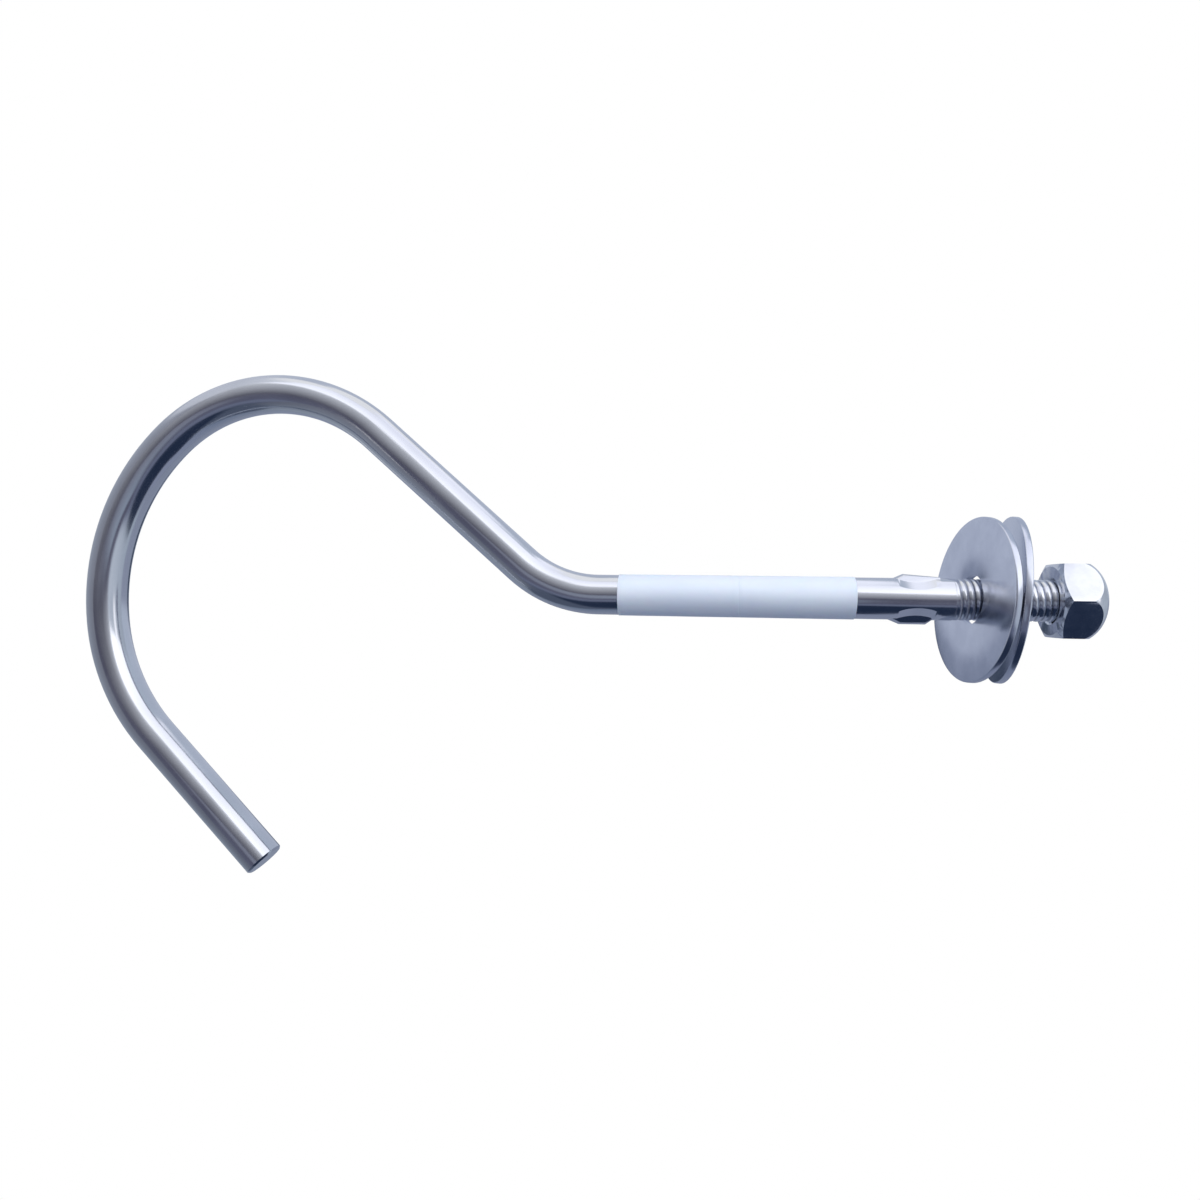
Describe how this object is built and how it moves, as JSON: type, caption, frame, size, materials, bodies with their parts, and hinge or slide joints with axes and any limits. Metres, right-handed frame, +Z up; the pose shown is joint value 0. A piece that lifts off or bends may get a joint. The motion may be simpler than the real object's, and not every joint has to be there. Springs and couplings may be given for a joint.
{
  "type": "wetsuit hook",
  "caption": "Large open hook bent from round steel bar, with stop ears, a white wrap, loose washers and a lock nut on its threaded end, for hanging a wetsuit from a beam.",
  "frame": {"origin": "on the shank's axis at the upper end of the stop ears, where the lower washer bears under a beam", "axes": "+Z up along the shank towards the thread and nut, +X in the plane of the hook towards the side it opens to, +Y across the hook"},
  "size_m": [0.1318, 0.039, 0.2562],
  "materials": {
    "polished_steel": "polished",
    "washer_steel": "satin",
    "nut_steel": "bright",
    "white_wrap": "satin",
    "nylon": "matte"
  },
  "bodies": {
    "bar": {"hook_bar": "polished_steel", "upper_wrap": "white_wrap", "lower_wrap": "white_wrap"},
    "washer_low": {"lower_washer": "washer_steel"},
    "washer_high": {"upper_washer": "washer_steel"},
    "nut_ring": {"nut_insert": "nylon"},
    "nut_shell": {"nut": "nut_steel"}
  },
  "joints": [
    {"name": "lower_washer_slide", "type": "slide", "parent": "bar", "child": "washer_low", "axis": [0, 0, 1], "range_m": [-0.007, 0]},
    {"name": "upper_washer_slide", "type": "slide", "parent": "washer_low", "child": "washer_high", "axis": [0, 0, 1], "range_m": [0, 0.003]},
    {"name": "nut_travel", "type": "slide", "parent": "bar", "child": "nut_ring", "axis": [0, 0, 1], "range_m": [-0.0045, 0.009]},
    {"name": "nut_turn", "type": "hinge", "parent": "nut_ring", "child": "nut_shell", "pos_m": [0, 0, 0.0247], "axis": [0, 0, 1], "range_deg": [-1080, 2160]}
  ],
  "couplings": [
    {"joint": "nut_travel", "follows": "nut_turn", "m_per_rad": 0.00023873}
  ]
}
